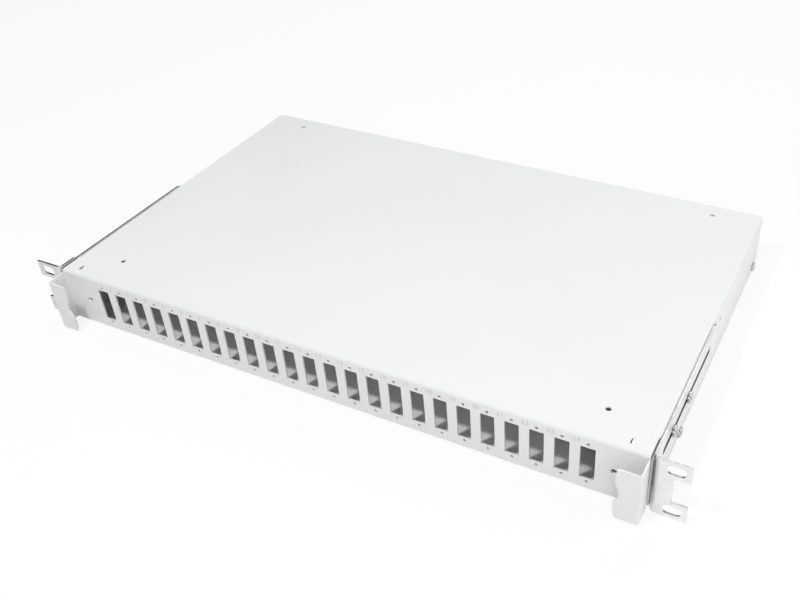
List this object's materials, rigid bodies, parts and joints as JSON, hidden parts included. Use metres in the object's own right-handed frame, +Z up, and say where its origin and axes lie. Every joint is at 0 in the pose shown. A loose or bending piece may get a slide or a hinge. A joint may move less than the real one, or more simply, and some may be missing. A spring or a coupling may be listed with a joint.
{
  "type": "fibre optic patch panel",
  "caption": "Rack-wide fibre patch panel: folded sheet housing with a row of adapter ports, cable hooks, inner splice cassettes, and rack ears on slotted rails that set its depth.",
  "frame": {"origin": "middle of the four rack slots, on the rear faces of the ears", "axes": "+X to the right seen from the front, +Y back into the rack, +Z up"},
  "size_m": [0.4826, 0.3003, 0.0438],
  "materials": {
    "powder_coat": "light grey powder coat, fine texture, satin",
    "galvanised": "hot-dip galvanised sheet with a faint spangle",
    "zinc_plate": "bright zinc plate",
    "cassette_plastic": "moulded, fine texture",
    "clear_plastic": "clear, smooth",
    "nylon": "natural nylon",
    "soft_rubber": "matt black",
    "grey_polyamide": "moulded, light grain"
  },
  "bodies": {
    "rails": {"right_rail": "galvanised", "left_rail": "galvanised"},
    "housing": {"shell": "powder_coat", "tray": "powder_coat", "bracket_right": "galvanised", "bracket_left": "galvanised", "anchor_brackets": "galvanised", "slide_screws": "zinc_plate", "slide_nuts": "zinc_plate", "shell_screws": "zinc_plate", "shell_nuts": "zinc_plate", "bracket_rivets": "zinc_plate", "cassette_studs": "zinc_plate", "cassette_washers": "zinc_plate", "cassette_nuts": "zinc_plate", "anchor_screws": "zinc_plate", "anchor_washers": "zinc_plate", "anchor_nuts": "zinc_plate", "earth_stud": "zinc_plate", "earth_nuts": "zinc_plate", "earth_washer": "zinc_plate", "cassette_lower": "cassette_plastic", "cassette_upper": "cassette_plastic", "cassette_lid": "clear_plastic", "fibre_guides": "nylon", "splice_combs": "soft_rubber", "gland_seals": "soft_rubber", "gland_bodies": "grey_polyamide", "gland_domes": "grey_polyamide", "gland_locknuts": "grey_polyamide", "entry_plugs": "grey_polyamide"}
  },
  "joints": [
    {"name": "depth_slide", "type": "slide", "parent": "rails", "child": "housing", "axis": [0, 1, 0], "range_m": [-0.0167, 0.0472]}
  ]
}
